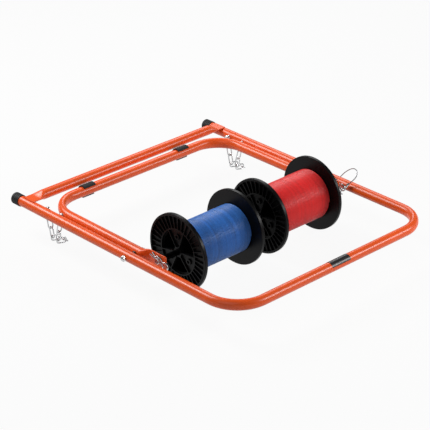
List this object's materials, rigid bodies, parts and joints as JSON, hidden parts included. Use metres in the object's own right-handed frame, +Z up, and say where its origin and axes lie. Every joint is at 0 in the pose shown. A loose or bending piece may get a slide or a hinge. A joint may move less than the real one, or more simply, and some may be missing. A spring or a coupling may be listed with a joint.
{
  "type": "folding cable caddy",
  "caption": "Folding bent-tube cable caddy with a pivoted tube stand, spread chains, and an axle rod that carries spools of wire, held by spring pins.",
  "frame": {"origin": "on the floor under the middle of the folded caddy's bounding box, cord left out", "axes": "+X along the main legs from the feet to the handle, +Y across from the near to the far side, +Z up"},
  "size_m": [0.6902, 0.5992, 0.1652],
  "materials": {
    "orange_powder_coat": "gloss powder coat",
    "black_rubber": "matte",
    "zinc_steel": "bright zinc plate",
    "black_oxide_steel": "black oxide, oiled",
    "wire_rope": "stranded",
    "black_nylon": "matte",
    "black_moulded_plastic": "satin moulded",
    "blue_wire_jacket": "extruded jacket",
    "red_wire_jacket": "extruded jacket",
    "label_film": "satin film"
  },
  "bodies": {
    "frame": {"main_frame": "orange_powder_coat", "cross_tube": "orange_powder_coat", "foot_cap_near": "black_rubber", "foot_cap_far": "black_rubber", "handle_label": "label_film", "pivot_bolt_near": "zinc_steel", "pivot_bolt_far": "zinc_steel", "pivot_spacer_near": "black_nylon", "pivot_spacer_far": "black_nylon", "pivot_washer_near": "zinc_steel", "pivot_washer_far": "zinc_steel", "acorn_nut_near": "zinc_steel", "acorn_nut_far": "zinc_steel", "frame_chain_screw_near": "zinc_steel", "frame_chain_screw_far": "zinc_steel", "lanyard": "wire_rope", "lanyard_ferrule": "zinc_steel"},
    "stand": {"stand_frame": "orange_powder_coat", "stand_pad_near": "black_rubber", "stand_pad_far": "black_rubber", "stand_chain_screw_near": "zinc_steel", "stand_chain_screw_far": "zinc_steel", "spread_chain_near": "zinc_steel", "spread_chain_far": "zinc_steel", "axle_rod": "black_oxide_steel"},
    "blue_spool": {"blue_flange_near": "black_moulded_plastic", "blue_flange_far": "black_moulded_plastic", "blue_barrel": "black_moulded_plastic", "blue_winding": "blue_wire_jacket"},
    "red_spool": {"red_flange_near": "black_moulded_plastic", "red_flange_far": "black_moulded_plastic", "red_barrel": "black_moulded_plastic", "red_winding": "red_wire_jacket"},
    "near_pin": {"hitch_pin_near": "zinc_steel"},
    "far_pin": {"hitch_pin_far": "zinc_steel"}
  },
  "joints": [
    {"name": "stand_fold", "type": "hinge", "parent": "frame", "child": "stand", "pos_m": [0.02295, 0, 0.0751], "axis": [0, -1, 0], "range_deg": [0, 44], "deforming": ["spread_chain_near", "spread_chain_far", "lanyard", "lanyard_ferrule"]},
    {"name": "blue_spool_spin", "type": "hinge", "parent": "stand", "child": "blue_spool", "pos_m": [0.08825, 0, 0.0826], "axis": [0, 1, 0], "continuous": true},
    {"name": "red_spool_spin", "type": "hinge", "parent": "stand", "child": "red_spool", "pos_m": [0.08825, 0, 0.0826], "axis": [0, 1, 0], "continuous": true},
    {"name": "near_pin_pull", "type": "slide", "parent": "stand", "child": "near_pin", "axis": [0.9563, 0, -0.2924], "range_m": [0, 0.03], "deforming": ["hitch_pin_near"]},
    {"name": "far_pin_pull", "type": "slide", "parent": "stand", "child": "far_pin", "axis": [0.9563, 0, -0.2924], "range_m": [0, 0.03], "deforming": ["hitch_pin_far", "lanyard", "lanyard_ferrule"]}
  ]
}
